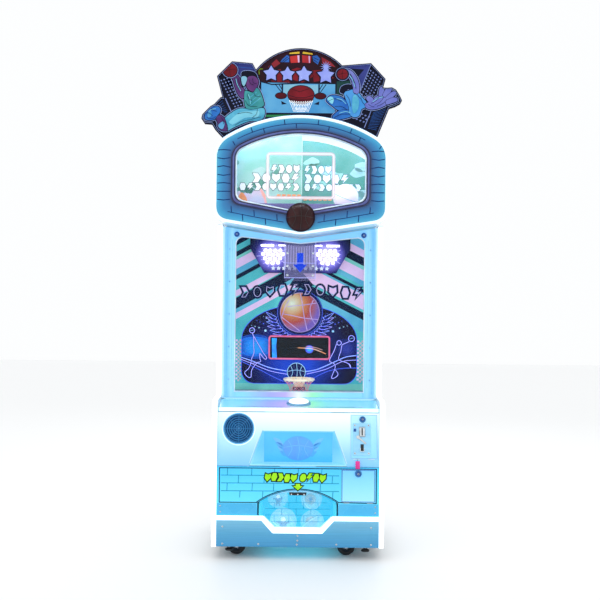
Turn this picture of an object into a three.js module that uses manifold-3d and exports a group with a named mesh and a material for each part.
// A free-standing basketball capsule-drop arcade machine, in millimetres, +Z up.
// The player stands at -Y. The origin is on the floor, under the middle of the machine, while
// the heights below are counted from DATUM_Z above the floor.
// Prize capsules wait behind the arched upper window, fall through a clear chute, past a
// hoop that travels on a rail, and arrive in the outlet behind the clear flap.
import * as THREE from "three";
import { ConvexGeometry } from "three/addons/geometries/ConvexGeometry.js";
import { mergeVertices } from "three/addons/utils/BufferGeometryUtils.js";
import Module from "manifold-3d";

const wasm = await Module();
wasm.setup();

// ---------------------------------------------------------------- driving dimensions
const DATUM_Z = 24; // the castors lift the cabinet's datum this far above the floor
const CABINET_HALF = 354; // half width over the side panels
const SIDE_THICK = 20;
const INNER_HALF = CABINET_HALF - SIDE_THICK - 0.5; // half width of what fits between the sides
const FRONT_Y = -300; // front of the base and of the header
const BACK_Y = 345;
const MID_Y = -110; // front of the set-back playfield section
const SKIRT_Z = 29; // lower edge of the side panels and the kick plate
const SIDE_TOP_Z = 1366;
const BASE_TOP_Z = 628; // top of the base's side panels
const SHEET = 6; // sheet-metal and acrylic fascia thickness
const GAP = 0.5; // clearance left between neighbouring pieces

const FLOOR_Z = 88; // underside of the base board
const FLOOR_THICK = 16;

const CONSOLE_BASE_Z = 360; // lower edge of the leaning console
const CONSOLE_SETBACK = 50; // how far the console leans back ...
const CONSOLE_RISE = 224; // ... over this height
const CONSOLE_LEAN = Math.atan2(CONSOLE_SETBACK, CONSOLE_RISE);
const CONSOLE_TOP_V = 221; // length of the console sheet along its slope

const DECK_FRONT_Y = -250;
const DECK_FRONT_Z = 597;
const DECK_DEPTH = 138;
const DECK_SLOPE = Math.atan2(18, DECK_DEPTH);

const BAND_TOP_Z = 156; // top of the contour light strip at the sides
const FASCIA_TOP_Z = 358;
const OUTLET_HALF = 164; // half width of the prize outlet
const OUTLET_SIDE_Z = 209; // where its vertical sides end and the arch starts
const OUTLET_ARCH_RISE = 53;
const STRIP_DIP = { lower: 52, upper: 48 }; // drop of the light strip's edges in the middle

const ARCH_CENTRE_Z = 1208; // every crown of the header is an arc about this height
const HEADER = { half: 358, crown: 593, shoulder: 105, tip: 1311, slope: 0.16, corner: 48 };
const WINDOW = { half: 268, crown: 517, shoulder: 50, tip: 1401, slope: 0.185, corner: 34 };
const SHELL_WALL = 12;
const GASKET_WIDTH = 19;
const BALL_Z = 1381; // half ball on the header's lower point
const BALL_RADIUS = 60;

const CAPSULE_RADIUS = 55;
const CHUTE_Y = -17; // middle of the drop chute, front to back
const HOOP_Z = 694;
const HOOP_Y = -12;
const HOOP_RADIUS = 64;
const BOARD_Y = 70; // front of the printed playfield board

const CASTOR = { x: 229, frontY: -208, rearY: 236, trail: 25, radius: 37.5, halfWidth: 11 };
const FOOT = { x: 281, frontY: -272, rearY: 300, padZ: 8 };

// ---------------------------------------------------------------- materials
const paint = (color, roughness, metalness = 0, opacity = 1) =>
  new THREE.MeshStandardMaterial({ color, roughness, metalness, opacity, transparent: opacity < 1 });
const WHITE = paint(0xf2f6f8, 0.4);
const SKY = paint(0x35b4e8, 0.3);
const STEEL_BLUE = paint(0x5aa7dc, 0.35, 0.6);
const GLOW = paint(0xf4feff, 0.5);
const CLEAR = paint(0xdff4fb, 0.05, 0, 0.3);
const MAUVE = paint(0x5a4c86, 0.35);
const NAVY = paint(0x14204e, 0.4);
const PRINT = paint(0x2b4f8c, 0.4);
const CHROME = paint(0xd4dade, 0.15, 1);
const BALL_BROWN = paint(0x5a241c, 0.45);
const RUBBER = paint(0x16181c, 0.8);
const ORANGE = paint(0xe88a4a, 0.4);

// ---------------------------------------------------------------- geometry helpers
const root = new THREE.Group();

function piece(name, geometry, material, parent = root) {
  const mesh = new THREE.Mesh(geometry, material);
  mesh.name = name;
  parent.add(mesh);
  return mesh;
}

function box(x0, x1, y0, y1, z0, z1) {
  return new THREE.BoxGeometry(x1 - x0, y1 - y0, z1 - z0).translate((x0 + x1) / 2, (y0 + y1) / 2, (z0 + z1) / 2);
}

function extrude(shape, depth, curveSegments = 10) {
  return new THREE.ExtrudeGeometry(shape, { depth, bevelEnabled: false, curveSegments });
}

// A shape drawn as (x, z), seen from the front, given thickness from y0 back to y1.
function alongY(shape, y0, y1, curveSegments) {
  return extrude(shape, y1 - y0, curveSegments).rotateX(Math.PI / 2).translate(0, y1, 0);
}

// A shape drawn as (y, z), seen from the side, given width from x0 to x1.
function alongX(shape, x0, x1, curveSegments) {
  const turn = new THREE.Matrix4().set(0, 0, 1, x0, 1, 0, 0, 0, 0, 1, 0, 0, 0, 0, 0, 1);
  return extrude(shape, x1 - x0, curveSegments).applyMatrix4(turn);
}

// A shape drawn as (x, y), seen from above, given height from z0 to z1.
function alongZ(shape, z0, z1, curveSegments) {
  return extrude(shape, z1 - z0, curveSegments).translate(0, 0, z0);
}

function polygon(points) {
  return new THREE.Shape(points.map(([a, b]) => new THREE.Vector2(a, b)));
}

function circleHole(x, y, radius) {
  const hole = new THREE.Path();
  hole.absarc(x, y, radius, 0, 2 * Math.PI, true);
  return hole;
}

// A turned solid: its profile holds [radius, height] points, and it stands along Z.
function turned(profile, segments) {
  return new THREE.LatheGeometry(profile.map(([r, h]) => new THREE.Vector2(r, h)), segments);
}

const uprightLathe = (profile, segments) => turned(profile, segments).rotateX(Math.PI / 2);
const frontLathe = (profile, segments) => turned(profile, segments).rotateX(Math.PI); // axis along Y

function cylinder(radius, z0, z1, segments = 24) {
  return uprightLathe([[0, z0], [radius, z0], [radius, z1], [0, z1]], segments);
}

function solid(geometry) {
  const bare = geometry.index ? geometry.toNonIndexed() : geometry.clone();
  bare.deleteAttribute("normal");
  bare.deleteAttribute("uv");
  const merged = mergeVertices(bare, 1e-3);
  return new wasm.Manifold(
    new wasm.Mesh({
      numProp: 3,
      vertProperties: merged.attributes.position.array,
      triVerts: new Uint32Array(merged.index.array),
    }),
  );
}

function geometryOf(manifold) {
  const mesh = manifold.getMesh();
  const geometry = new THREE.BufferGeometry();
  geometry.setAttribute("position", new THREE.BufferAttribute(new Float32Array(mesh.vertProperties), 3));
  geometry.setIndex(new THREE.BufferAttribute(new Uint32Array(mesh.triVerts), 1));
  return geometry;
}

function join(...geometries) {
  return geometryOf(geometries.map(solid).reduce((a, b) => a.add(b)));
}

function cut(base, ...tools) {
  return geometryOf(tools.map(solid).reduce((a, b) => a.subtract(b), solid(base)));
}

// The header's outline family: a V-shaped foot, upright sides, filleted shoulders and a round
// crown. grow moves the whole outline outwards, or inwards when negative.
function archOutline(dims, grow = 0, Kind = THREE.Shape) {
  const half = dims.half + grow;
  const crown = dims.crown + grow;
  const shoulder = dims.shoulder + grow;
  const slopeLength = Math.hypot(1, dims.slope);
  const tipZ = dims.tip - grow * slopeLength;
  const cornerZ = tipZ + dims.slope * half;
  const corner = dims.corner;
  const shoulderZ = ARCH_CENTRE_Z + Math.sqrt((crown - shoulder) ** 2 - (half - shoulder) ** 2);
  const meet = Math.atan2(shoulderZ - ARCH_CENTRE_Z, half - shoulder);
  const alongX1 = corner / slopeLength;
  const blunt = 26; // the point of the V is rounded over this half length
  const outline = new Kind();
  outline.moveTo(blunt, tipZ + dims.slope * blunt);
  outline.lineTo(half - alongX1, cornerZ - dims.slope * alongX1);
  outline.quadraticCurveTo(half, cornerZ, half, cornerZ + corner);
  outline.lineTo(half, shoulderZ);
  outline.absarc(half - shoulder, shoulderZ, shoulder, 0, meet, false);
  outline.absarc(0, ARCH_CENTRE_Z, crown, meet, Math.PI - meet, false);
  outline.absarc(shoulder - half, shoulderZ, shoulder, Math.PI - meet, Math.PI, false);
  outline.lineTo(-half, cornerZ + corner);
  outline.quadraticCurveTo(-half, cornerZ, alongX1 - half, cornerZ - dims.slope * alongX1);
  outline.lineTo(-blunt, tipZ + dims.slope * blunt);
  outline.quadraticCurveTo(0, tipZ, blunt, tipZ + dims.slope * blunt);
  return outline;
}

function archRing(dims, outer, inner) {
  const ring = archOutline(dims, outer);
  ring.holes.push(archOutline(dims, inner, THREE.Path));
  return ring;
}

// ---------------------------------------------------------------- cabinet panels
function sideProfile() {
  const profile = new THREE.Shape();
  const nose = 30; // rounding of the base's upper front corner
  const cove = 18; // rounding where the playfield section rises
  profile.moveTo(FRONT_Y, SKIRT_Z);
  profile.lineTo(BACK_Y, SKIRT_Z);
  profile.lineTo(BACK_Y, SIDE_TOP_Z);
  profile.lineTo(MID_Y, SIDE_TOP_Z);
  profile.lineTo(MID_Y, BASE_TOP_Z + cove);
  profile.quadraticCurveTo(MID_Y, BASE_TOP_Z, MID_Y - cove, BASE_TOP_Z);
  profile.lineTo(FRONT_Y + nose, BASE_TOP_Z);
  profile.quadraticCurveTo(FRONT_Y, BASE_TOP_Z, FRONT_Y, BASE_TOP_Z - nose);
  return profile;
}

function makeCabinet() {
  piece("left_side_panel", alongX(sideProfile(), -CABINET_HALF, SIDE_THICK - CABINET_HALF, 6), WHITE);
  piece("right_side_panel", alongX(sideProfile(), CABINET_HALF - SIDE_THICK, CABINET_HALF, 6), WHITE);

  const backThick = 18;
  const door = { half: 240, z0: 160, z1: 1150 };
  const back = polygon([
    [-INNER_HALF, FLOOR_Z + FLOOR_THICK + GAP],
    [INNER_HALF, FLOOR_Z + FLOOR_THICK + GAP],
    [INNER_HALF, SIDE_TOP_Z - 4],
    [0, HEADER.tip - 3],
    [-INNER_HALF, SIDE_TOP_Z - 4],
  ]);
  back.holes.push(
    new THREE.Path([
      new THREE.Vector2(-door.half, door.z0),
      new THREE.Vector2(-door.half, door.z1),
      new THREE.Vector2(door.half, door.z1),
      new THREE.Vector2(door.half, door.z0),
    ]),
  );
  piece("back_panel", alongY(back, BACK_Y - backThick, BACK_Y), WHITE);

  const doorGap = 2;
  const ventSlots = [0, 1, 2, 3, 4].map((i) => box(-90, 90, BACK_Y - 30, BACK_Y + 10, 980 + i * 26, 990 + i * 26));
  const slab = box(doorGap - door.half, door.half - doorGap, BACK_Y - backThick, BACK_Y, door.z0 + doorGap, door.z1 - doorGap);
  piece("rear_door", cut(slab, ...ventSlots), WHITE);
}

function makeBaseFloor() {
  const notchHalf = 163; // clearance round the prize tray, open at the front
  const notchBackY = 24;
  const frontY = FRONT_Y + SHEET + GAP;
  const backY = BACK_Y - 18 - GAP;
  const board = polygon([
    [-INNER_HALF, frontY],
    [-notchHalf, frontY],
    [-notchHalf, notchBackY],
    [notchHalf, notchBackY],
    [notchHalf, frontY],
    [INNER_HALF, frontY],
    [INNER_HALF, backY],
    [-INNER_HALF, backY],
  ]);
  for (const x of [-FOOT.x, FOOT.x]) {
    for (const y of [FOOT.frontY, FOOT.rearY]) board.holes.push(circleHole(x, y, 6));
  }
  piece("base_floor", alongZ(board, FLOOR_Z, FLOOR_Z + FLOOR_THICK, 6), WHITE);
}

// ---------------------------------------------------------------- lower front
// The contour that the kick plate's top edge and the light strip share: level at the sides and
// dipping under the prize outlet. It is drawn from left to right.
function contour(z, inset, dip) {
  const outer = 148 + inset;
  const inner = 101 + inset;
  return [
    [-INNER_HALF, z],
    [-outer, z],
    [-inner, z - dip],
    [inner, z - dip],
    [outer, z],
    [INNER_HALF, z],
  ];
}

function makeLowerFront() {
  const kickTop = contour(138, 0, STRIP_DIP.lower);
  const kick = polygon([...kickTop, [INNER_HALF, SKIRT_Z], [-INNER_HALF, SKIRT_Z]]);
  piece("kick_plate", alongY(kick, FRONT_Y, FRONT_Y + SHEET), STEEL_BLUE);

  const stripTop = contour(BAND_TOP_Z - GAP, -5, STRIP_DIP.upper);
  const strip = polygon([...contour(138 + GAP, 0, STRIP_DIP.lower), ...stripTop.reverse()]);
  piece("base_light_strip", alongY(strip, FRONT_Y - 6, FRONT_Y + 8), GLOW);

  const archRadius = (OUTLET_HALF ** 2 + OUTLET_ARCH_RISE ** 2) / (2 * OUTLET_ARCH_RISE);
  const archZ = OUTLET_SIDE_Z + OUTLET_ARCH_RISE - archRadius;
  const spring = Math.acos(OUTLET_HALF / archRadius);
  const fascia = new THREE.Shape();
  fascia.moveTo(-INNER_HALF, BAND_TOP_Z + GAP);
  fascia.lineTo(-OUTLET_HALF, BAND_TOP_Z + GAP);
  fascia.lineTo(-OUTLET_HALF, OUTLET_SIDE_Z);
  fascia.absarc(0, archZ, archRadius, Math.PI - spring, spring, true);
  fascia.lineTo(OUTLET_HALF, BAND_TOP_Z + GAP);
  fascia.lineTo(INNER_HALF, BAND_TOP_Z + GAP);
  fascia.lineTo(INNER_HALF, FASCIA_TOP_Z);
  fascia.lineTo(-INNER_HALF, FASCIA_TOP_Z);
  fascia.closePath();
  const cash = { x0: 178, x1: 318, z0: 214, z1: 350 };
  fascia.holes.push(
    new THREE.Path([
      new THREE.Vector2(cash.x0, cash.z0),
      new THREE.Vector2(cash.x0, cash.z1),
      new THREE.Vector2(cash.x1, cash.z1),
      new THREE.Vector2(cash.x1, cash.z0),
    ]),
  );
  piece("front_fascia", alongY(fascia, FRONT_Y, FRONT_Y + SHEET, 24), SKY);

  // The cash door drops open about its lower front edge; its cam lock turns in it.
  const margin = 1;
  const lock = { x: 247, z: 333 };
  const cashSlab = box(cash.x0 + margin, cash.x1 - margin, FRONT_Y, FRONT_Y + SHEET, cash.z0 + margin, cash.z1 - margin);
  const lockHole = frontLathe([[0, -20], [10.5, -20], [10.5, 20], [0, 20]], 20).translate(lock.x, FRONT_Y, lock.z);
  piece("cash_door", cut(cashSlab, lockHole), WHITE);
  piece("cash_door_lock", camLock(10).translate(lock.x, FRONT_Y, lock.z), CHROME);

  makeOutlet();
}

// A cam lock with its face towards -Y: a flanged barrel that passes through its panel, and the
// cam arm behind, lying sideways in the unlocked position. The panel's outer face is at y 0.
function camLock(radius) {
  const flange = radius + 4;
  const barrel = frontLathe(
    [[0, -18], [radius - GAP, -18], [radius - GAP, GAP], [flange, GAP], [flange, 4], [flange - 2, 7], [0, 7]],
    20,
  );
  const arm = box(-5, 24, 12, 17, -5, 5);
  return join(barrel, arm);
}

function makeOutlet() {
  const half = 160;
  const backY = 20;
  const frontY = FRONT_Y + 9;
  const outer = box(-half, half, frontY, backY, 56, 200);
  const well = box(4 - half, half - 4, frontY + 4, backY - 4, 60, 210);
  const mouth = box(4 - half, half - 4, frontY - 10, frontY + 10, 98, 210);
  piece("prize_tray", cut(outer, well, mouth), SKY);

  // The clear flap hangs in the outlet from a short hinge near the crown of the arch.
  const flapArch = OUTLET_ARCH_RISE - 4;
  const flapHalf = OUTLET_HALF - 4;
  const radius = (flapHalf ** 2 + flapArch ** 2) / (2 * flapArch);
  const centreZ = OUTLET_SIDE_Z - 1 + flapArch - radius;
  const spring = Math.acos(flapHalf / radius);
  const flap = new THREE.Shape();
  flap.moveTo(-93, 109);
  flap.lineTo(-139.5, 157.5);
  flap.lineTo(-flapHalf, 157.5);
  flap.lineTo(-flapHalf, OUTLET_SIDE_Z - 1);
  flap.absarc(0, centreZ, radius, Math.PI - spring, spring, true);
  flap.lineTo(flapHalf, 157.5);
  flap.lineTo(139.5, 157.5);
  flap.lineTo(93, 109);
  flap.closePath();
  piece("prize_flap", alongY(flap, FRONT_Y + 1, FRONT_Y + 5, 24), CLEAR);

  const trayTop = 60.4;
  const ball = (r) => new THREE.SphereGeometry(r, 18, 12).rotateX(Math.PI / 2);
  piece("prize_capsule_left", ball(57).translate(-60, -224, trayTop + 57), CLEAR);
  piece("prize_capsule_right", ball(50).translate(62, -205, trayTop + 50), CLEAR);
}

// ---------------------------------------------------------------- console
// The console group's own frame: x across, y up the slope, z out of the panel.
const consolePanel = new THREE.Group();
consolePanel.position.set(0, FRONT_Y, CONSOLE_BASE_Z);
consolePanel.rotation.x = Math.PI / 2 - CONSOLE_LEAN;
root.add(consolePanel);
const upSlope = (z) => (z - CONSOLE_BASE_Z) / Math.cos(CONSOLE_LEAN);

function makeConsole() {
  const speaker = { x: -247, v: upSlope(509), radius: 62 };
  const pocket = { topHalf: 144, footHalf: 196, topZ: 498, footZ: 366, footY: -238 };
  const door = { x0: 216, x1: 326, v0: upSlope(393), v1: upSlope(569) };

  const sheet = polygon([[-INNER_HALF, 1], [INNER_HALF, 1], [INNER_HALF, CONSOLE_TOP_V], [-INNER_HALF, CONSOLE_TOP_V]]);
  sheet.holes.push(circleHole(speaker.x, speaker.v, 56));
  const wall = 4;
  const lip = wall + 1;
  sheet.holes.push(
    new THREE.Path([
      new THREE.Vector2(-pocket.footHalf - lip, upSlope(pocket.footZ) - lip),
      new THREE.Vector2(-pocket.topHalf - lip, upSlope(pocket.topZ) + lip),
      new THREE.Vector2(pocket.topHalf + lip, upSlope(pocket.topZ) + lip),
      new THREE.Vector2(pocket.footHalf + lip, upSlope(pocket.footZ) - lip),
    ]),
  );
  sheet.holes.push(
    new THREE.Path([
      new THREE.Vector2(door.x0, door.v0),
      new THREE.Vector2(door.x0, door.v1),
      new THREE.Vector2(door.x1, door.v1),
      new THREE.Vector2(door.x1, door.v0),
    ]),
  );
  piece("console_panel", extrude(sheet, SHEET, 10).translate(0, 0, -SHEET), WHITE, consolePanel);

  // The pocket is a wedge that deepens downwards: a splayed scoop moulded as one shell.
  const lean = Math.sin(CONSOLE_LEAN);
  const rise = Math.cos(CONSOLE_LEAN);
  const footV = upSlope(pocket.footZ);
  const topV = upSlope(pocket.topZ);
  const backDrop = (pocket.footY - (FRONT_Y + footV * lean)) * rise; // depth square to the panel
  const backV = footV + (pocket.footY - (FRONT_Y + footV * lean)) * lean;
  const wedge = (grow, proud) =>
    new ConvexGeometry([
      new THREE.Vector3(-pocket.topHalf - grow, topV + grow, proud),
      new THREE.Vector3(pocket.topHalf + grow, topV + grow, proud),
      new THREE.Vector3(-pocket.topHalf - grow, topV + grow, -1 - grow),
      new THREE.Vector3(pocket.topHalf + grow, topV + grow, -1 - grow),
      new THREE.Vector3(-pocket.footHalf - grow, footV - grow, proud),
      new THREE.Vector3(pocket.footHalf + grow, footV - grow, proud),
      new THREE.Vector3(-pocket.topHalf - grow, backV - grow, -backDrop - grow),
      new THREE.Vector3(pocket.topHalf + grow, backV - grow, -backDrop - grow),
    ]);
  piece("console_pocket", cut(wedge(wall, 0), wedge(0, 2)), WHITE, consolePanel);

  const grille = uprightLathe([[0, 0.4], [speaker.radius, 0.4], [speaker.radius, 5], [58, 7], [0, 7]], 40);
  piece("speaker_grille", grille.translate(speaker.x, speaker.v, 0), NAVY, consolePanel);

  makeCoinDoor(door);
}

function makeCoinDoor(opening) {
  const margin = 1;
  const plate = { x0: 225, x1: 297, v0: upSlope(406), v1: upSlope(534), thick: 4 };
  const slotX = (plate.x0 + plate.x1) / 2 + 2;
  const lock = { x: 265, v: upSlope(550) };
  const slab = box(opening.x0 + margin, opening.x1 - margin, opening.v0 + margin, opening.v1 - margin, -SHEET, 0);
  const lockHole = cylinder(9.5, -20, 20, 20).translate(lock.x, lock.v, 0);
  const throat = box(slotX - 12, slotX + 12, plate.v0 + 12, plate.v1 - 12, -20, 20);
  piece("coin_door", cut(slab, lockHole, throat), WHITE, consolePanel);

  // Coin mechanism: front plate, slot, return cup and the selector body behind the door.
  const low = 0.4;
  const front = box(plate.x0, plate.x1, plate.v0, plate.v1, low, low + plate.thick);
  const body = box(slotX - 11, slotX + 11, plate.v0 + 13, plate.v1 - 13, -44, low + 1);
  const slot = box(slotX - 2.5, slotX + 2.5, plate.v1 - 50, plate.v1 - 20, -30, 20);
  const cup = box(slotX - 7, slotX + 7, plate.v0 + 16, plate.v0 + 46, -16, 20);
  piece("coin_mechanism", cut(join(front, body), slot, cup), CHROME, consolePanel);

  const leverTop = low + plate.thick + GAP;
  const pivot = { x: 245.6, v: upSlope(478.5) };
  const arm = box(-4, 42, -3.5, 3.5, leverTop, leverTop + 4).rotateZ(-0.69);
  const boss = cylinder(7, leverTop, leverTop + 6, 16);
  piece("coin_return_lever", join(arm, boss).translate(pivot.x, pivot.v, 0), CHROME, consolePanel);

  const turnedLock = camLock(9).rotateX(-Math.PI / 2); // its face now looks out of the panel
  piece("coin_door_lock", turnedLock.translate(lock.x, lock.v, 0), CHROME, consolePanel);
}

// ---------------------------------------------------------------- deck and start button
function makeDeck() {
  const deck = new THREE.Group();
  deck.position.set(0, DECK_FRONT_Y, DECK_FRONT_Z);
  deck.rotation.x = DECK_SLOPE;
  root.add(deck);
  const buttonY = 66;
  const shelf = box(-INNER_HALF, INNER_HALF, -6, DECK_DEPTH, -8, 0);
  const nosing = box(-INNER_HALF, INNER_HALF, -6, 0, -18, -1);
  const buttonHole = cylinder(46, -30, 30, 32).translate(0, buttonY, 0);
  piece("deck_shelf", cut(join(shelf, nosing), buttonHole), WHITE, deck);

  // A domed push button: a short drum under a shallow elliptical cap.
  const drum = 43;
  const shoulderZ = 8;
  const domeRise = 12;
  const steps = 6;
  const profile = [[0, -16], [drum, -16], [drum, shoulderZ]];
  for (let i = 1; i <= steps; i += 1) {
    const angle = (i / steps) * (Math.PI / 2);
    profile.push([drum * Math.cos(angle), shoulderZ + domeRise * Math.sin(angle)]);
  }
  profile[profile.length - 1][0] = 0;
  piece("start_button", uprightLathe(profile, 28).translate(0, buttonY, 0), GLOW, deck);
}

// ---------------------------------------------------------------- playfield
function vTopPanel(half, z0, tipZ, slope) {
  return polygon([[-half, z0], [half, z0], [half, tipZ + slope * half], [0, tipZ], [-half, tipZ + slope * half]]);
}

function makePlayfieldDoor() {
  const frame = vTopPanel(INNER_HALF - 0.5, 622, 1303, HEADER.slope);
  const pane = { half: 276, z0: 649, tip: 1285, slope: 0.108, corner: 30 };
  const cornerZ = pane.tip + pane.slope * pane.half;
  const opening = new THREE.Path();
  opening.moveTo(-pane.half, pane.z0);
  opening.lineTo(-pane.half, cornerZ - pane.corner);
  opening.quadraticCurveTo(-pane.half, cornerZ, pane.corner - pane.half, cornerZ - pane.slope * pane.corner);
  opening.lineTo(0, pane.tip);
  opening.lineTo(pane.half - pane.corner, cornerZ - pane.slope * pane.corner);
  opening.quadraticCurveTo(pane.half, cornerZ, pane.half, cornerZ - pane.corner);
  opening.lineTo(pane.half, pane.z0);
  frame.holes.push(opening);
  const lock = { x: 273, z: 1323, radius: 7 };
  for (const x of [-lock.x, lock.x]) frame.holes.push(circleHole(x, lock.z, lock.radius + GAP));
  piece("playfield_door_frame", alongY(frame, MID_Y, MID_Y + 18, 8), SKY);
  const glass = polygon([
    [-292, 634],
    [292, 634],
    [292, 1290],
    [255, 1318],
    [0, 1293],
    [-255, 1318],
    [-292, 1290],
  ]);
  piece("playfield_door_glass", alongY(glass, MID_Y + 18.5, MID_Y + 23.5), CLEAR);
  for (const [name, x] of [["door_lock_left", -lock.x], ["door_lock_right", lock.x]]) {
    const flange = lock.radius + 4;
    const barrel = frontLathe(
      [[0, -21], [lock.radius, -21], [lock.radius, GAP], [flange, GAP], [flange, 4], [flange - 2, 6], [0, 6]],
      20,
    );
    piece(name, barrel.translate(x, MID_Y, lock.z), STEEL_BLUE);
  }
}

function makePlayfield() {
  const board = vTopPanel(INNER_HALF, 625, 1306, HEADER.slope);
  piece("playfield_board", alongY(board, BOARD_Y, BOARD_Y + 12), PRINT);

  const display = { half: 138, z0: 776, z1: 883, round: 14 };
  const screen = new THREE.Shape();
  screen.moveTo(display.round - display.half, display.z0);
  screen.absarc(display.half - display.round, display.z0 + display.round, display.round, -Math.PI / 2, 0, false);
  screen.absarc(display.half - display.round, display.z1 - display.round, display.round, 0, Math.PI / 2, false);
  screen.absarc(display.round - display.half, display.z1 - display.round, display.round, Math.PI / 2, Math.PI, false);
  screen.absarc(display.round - display.half, display.z0 + display.round, display.round, Math.PI, 1.5 * Math.PI, false);
  piece("display_screen", alongY(screen, BOARD_Y - 10, BOARD_Y - GAP, 4), NAVY);

  const lampTop = 1304;
  const lampHalf = 224;
  const lamps = polygon([
    [-161, 1163],
    [161, 1163],
    [lampHalf, 1272],
    [lampHalf, lampTop + HEADER.slope * lampHalf],
    [0, lampTop],
    [-lampHalf, lampTop + HEADER.slope * lampHalf],
    [-lampHalf, 1272],
  ]);
  piece("lamp_housing", alongY(lamps, BOARD_Y - 22, BOARD_Y - GAP), NAVY);

  const wall = 4;
  const tube = { half: 67, depth: 63, z0: 1136, z1: 1303 };
  const outside = box(-tube.half, tube.half, CHUTE_Y - tube.depth, CHUTE_Y + tube.depth, tube.z0, tube.z1);
  const inside = box(
    wall - tube.half,
    tube.half - wall,
    CHUTE_Y - tube.depth + wall,
    CHUTE_Y + tube.depth - wall,
    tube.z0 - 5,
    tube.z1 + 5,
  );
  piece("drop_chute", cut(outside, inside), CLEAR);
  const gate = box(-66, 66, CHUTE_Y - tube.depth, CHUTE_Y + tube.depth - 4, tube.z0 - 9, tube.z0 - 4);
  piece("chute_gate", gate, CLEAR);

  makeHoop();
  makeFunnel();
}

function makeHoop() {
  const railY = 52;
  piece("hoop_rail", box(-INNER_HALF, INNER_HALF, railY - 8, railY + 8, 628, 640), CHROME);
  const wire = 5.5;
  const steps = 8;
  const ring = [];
  for (let i = 0; i <= steps; i += 1) {
    const angle = -(i / steps) * 2 * Math.PI;
    ring.push([HOOP_RADIUS + wire * Math.cos(angle), -wire * Math.sin(angle)]);
  }
  const rim = uprightLathe(ring, 30).translate(0, HOOP_Y, HOOP_Z);
  const bracket = box(-20, 20, railY - 1, railY + 9, 645, HOOP_Z + 4);
  const slider = box(-28, 28, railY - 12, railY + 12, 640.5, 655);
  piece("hoop_carriage", join(rim, bracket, slider), ORANGE);

  const netTop = HOOP_Z - wire - 1;
  const netFoot = 657;
  const net = uprightLathe([[58, netFoot], [59.5, netFoot], [61, netTop], [59.5, netTop], [58, netFoot]], 24);
  piece("hoop_net", net.translate(0, HOOP_Y, 0), WHITE);
}

// The floor of the playfield: a shallow hopper that leads into the duct down to the tray.
function makeFunnel() {
  const wall = 3;
  const top = { half: INNER_HALF, y0: -106, y1: 66, z: 620 };
  const throat = { half: 78, y0: -106, y1: 20, z: 540 };
  const ductFootZ = 212;
  const hopper = (inset, over) =>
    new ConvexGeometry(
      [
        [top.half, top.y0, top.y1, top.z + over],
        [throat.half, throat.y0, throat.y1, throat.z - over],
      ].flatMap(([half, y0, y1, z]) =>
        [-1, 1].flatMap((side) => [
          new THREE.Vector3(side * (half - inset), y0 + inset, z),
          new THREE.Vector3(side * (half - inset), y1 - inset, z),
        ]),
      ),
    );
  const duct = (inset, over) =>
    box(
      inset - throat.half,
      throat.half - inset,
      throat.y0 + inset,
      throat.y1 - inset,
      ductFootZ - over,
      throat.z + 1 + over,
    );
  piece("prize_duct", cut(join(hopper(0, 0), duct(0, 0)), hopper(wall, 0.01), duct(wall, 5)), WHITE);
}

// ---------------------------------------------------------------- header
function makeHeader() {
  const exit = { x: -14, y: -35, radius: 60 };
  const wallRing = alongY(archRing(HEADER, 0, -SHELL_WALL), FRONT_Y, BACK_Y - 6, 14);
  const backSheet = alongY(archOutline(HEADER), BACK_Y - 10, BACK_Y, 14);
  const shellHole = cylinder(62, 1290, 1370, 24).translate(exit.x / 2, (exit.y + CHUTE_Y) / 2, 0);
  piece("header_shell", cut(join(wallRing, backSheet), shellHole), WHITE);

  const faceY = FRONT_Y + 3;
  const face = archOutline(HEADER, -SHELL_WALL - GAP);
  face.holes.push(archOutline(WINDOW, 3, THREE.Path));
  piece("header_face", alongY(face, faceY, faceY + SHEET, 14), SKY);
  piece("window_gasket", alongY(archRing(WINDOW, GASKET_WIDTH, 0), FRONT_Y - 8, faceY - GAP, 14), MAUVE);
  piece("window_glass", alongY(archOutline(WINDOW, 12), faceY + SHEET + GAP, faceY + SHEET + 4.5, 14), CLEAR);

  const capHeight = 36.5;
  const sphere = (BALL_RADIUS ** 2 + capHeight ** 2) / (2 * capHeight);
  const sweep = Math.asin(BALL_RADIUS / sphere);
  const steps = 7;
  const cap = [[0, 0]];
  for (let i = 0; i <= steps; i += 1) {
    const angle = sweep * (1 - i / steps);
    cap.push([sphere * Math.sin(angle), sphere * Math.cos(angle) - (sphere - capHeight)]);
  }
  cap[1][1] = 0;
  cap[cap.length - 1][0] = 0;
  piece("header_ball", frontLathe(cap, 32).translate(0, FRONT_Y - 8.5, BALL_Z), BALL_BROWN);

  makeStorage(exit);
  makeMarquee();
}

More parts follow.
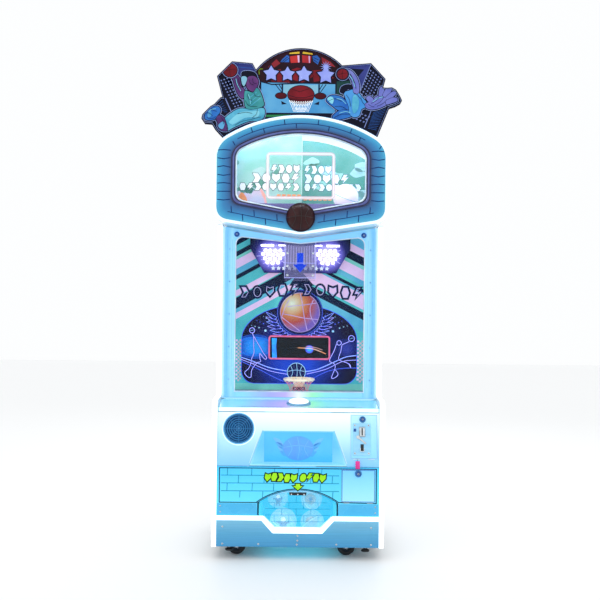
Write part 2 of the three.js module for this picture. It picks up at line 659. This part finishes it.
// The two printed panels behind the window: the left one stands forward and hides the feeder.
function makeStorage(exit) {
  const top = 521;
  const footZ = 1426;
  const panel = (x0, x1) => {
    const shape = new THREE.Shape();
    const angle = (x) => Math.acos(x / top);
    shape.moveTo(x0, footZ);
    shape.lineTo(x1, footZ);
    shape.absarc(0, ARCH_CENTRE_Z, top, angle(x1), angle(x0), false);
    shape.closePath();
    return shape;
  };
  const panelHalf = HEADER.half - SHELL_WALL - GAP;
  piece("storage_panel_left", alongY(panel(-panelHalf, 3), -246, -240, 16), PRINT);
  piece("storage_panel_right", alongY(panel(5, panelHalf), -105, -99, 16), PRINT);

  const lipTopZ = 1440;
  const floorProfile = polygon([
    [-285, 1385],
    [-281, 1385],
    [-281, 1412],
    [320, 1412],
    [320, 1424],
    [-281, 1424],
    [-281, lipTopZ],
    [-285, lipTopZ],
  ]);
  const exitHole = cylinder(exit.radius, 1400, 1450, 24).translate(exit.x, exit.y, 0);
  const feeder = { x: -96, y: 2, radius: 138 };
  const shaftHole = cylinder(6, 1400, 1450, 12).translate(feeder.x, feeder.y, 0);
  piece("capsule_hopper", cut(alongX(floorProfile, -320, 320), exitHole, shaftHole), MAUVE);

  const blade = (turn) => box(-feeder.radius, feeder.radius, -4, 4, 1426, 1500).rotateZ(turn);
  const hub = cylinder(30, 1426, 1508, 20);
  const shaft = cylinder(5, 1412.5, 1430, 12);
  const wheel = join(blade(Math.PI / 4), blade(-Math.PI / 4), hub, shaft);
  piece("feeder_wheel", wheel.translate(feeder.x, feeder.y, 0), SKY);
  piece("feeder_motor", cylinder(30, 1348, 1411.5, 20).translate(feeder.x, feeder.y, 0), STEEL_BLUE);

  const capsule = new THREE.SphereGeometry(CAPSULE_RADIUS, 20, 14).rotateX(Math.PI / 2);
  piece("stored_capsule", capsule.translate(189, -190, 1424.4 + CAPSULE_RADIUS), GLOW);
}

// The cut-out sign: two tower blocks and two reaching figures either side of a round crown.
function makeMarquee() {
  const outline = new THREE.Shape();
  const seat = HEADER.crown + 1;
  const onSeat = (x) => ARCH_CENTRE_Z + Math.sqrt(seat ** 2 - x ** 2);
  const crown = { x: -3, radius: 240, topZ: 2084 };
  const crownZ = crown.topZ - crown.radius;
  const leftX = -322;
  const rightX = 312;
  const leftFoot = [[-337, 1722], [-358, 1745], [-371, 1766], [-400, 1768], [-415, 1790], [-411, 1806], [-395, 1823]];
  const leftTower = [[-377, 1841], [-362, 1850], [-334, 1880], [-329, 1878], [-352, 1965], [-290, 2027], [-204, 2020]];
  const rightTower = [[285, 2025], [346, 1960], [337, 1925]];
  const hand = [[352, 1924], [372, 1926], [390, 1916], [404, 1894], [415, 1872], [408, 1858], [386, 1846], [362, 1838]];
  outline.moveTo(leftX, onSeat(leftX));
  for (const [x, z] of [...leftFoot, ...leftTower]) outline.lineTo(x, z);
  const from = Math.acos((-190 - crown.x) / crown.radius);
  const to = Math.acos((166 - crown.x) / crown.radius);
  outline.absarc(crown.x, crownZ, crown.radius, from, to, true);
  for (const [x, z] of [...rightTower, ...hand]) outline.lineTo(x, z);
  outline.lineTo(rightX, onSeat(rightX));
  outline.absarc(0, ARCH_CENTRE_Z, seat, Math.acos(rightX / seat), Math.acos(leftX / seat), false);
  piece("marquee_board", alongY(outline, -262, -252, 14), PRINT);
}

// ---------------------------------------------------------------- castors and levelling feet
function makeCastor(name, x, y) {
  const group = new THREE.Group();
  group.position.set(x, y, 0);
  root.add(group);
  const axleX = -CASTOR.trail;
  const axleZ = CASTOR.radius - DATUM_Z;
  const axle = (radius, half) =>
    frontLathe([[0, -half], [radius, -half], [radius, half], [0, half]], 16).translate(axleX, 0, axleZ);
  const leg = (y0) => alongY(polygon([[axleX - 7, axleZ - 8], [axleX + 7, axleZ - 8], [12, 76], [-34, 76]]), y0, y0 + 3);
  const swivel = cylinder(22, 77, FLOOR_Z - GAP, 24);
  const crown = box(-34, 14, -16, 16, 72, 78);
  piece("castor_fork_" + name, join(swivel, crown, leg(-16), leg(13), axle(4, 18)), STEEL_BLUE, group);
  const side = CASTOR.halfWidth;
  const hub = CASTOR.radius - 5.5;
  const rim = [[4.6, -side], [hub, -side], [CASTOR.radius, 4 - side], [CASTOR.radius, side - 4], [hub, side], [4.6, side]];
  const wheel = frontLathe([...rim, rim[0]], 28).translate(axleX, 0, axleZ);
  piece("castor_wheel_" + name, wheel, RUBBER, group);
}

function makeRunningGear() {
  for (const [side, sign] of [["left", -1], ["right", 1]]) {
    for (const [end, castorY, footY] of [["front", CASTOR.frontY, FOOT.frontY], ["rear", CASTOR.rearY, FOOT.rearY]]) {
      const name = end + "_" + side;
      makeCastor(name, sign * CASTOR.x, castorY);
      const foot = uprightLathe(
        [[0, FOOT.padZ], [17, FOOT.padZ], [17, FOOT.padZ + 6], [9, FOOT.padZ + 12], [5, FOOT.padZ + 12], [5, 124], [0, 124]],
        16,
      );
      piece("levelling_foot_" + name, foot.translate(sign * FOOT.x, footY, 0), RUBBER);
    }
  }
}

makeCabinet();
makeBaseFloor();
makeLowerFront();
makeConsole();
makeDeck();
makePlayfieldDoor();
makePlayfield();
makeHeader();
makeRunningGear();
root.position.z = DATUM_Z;

export default root;
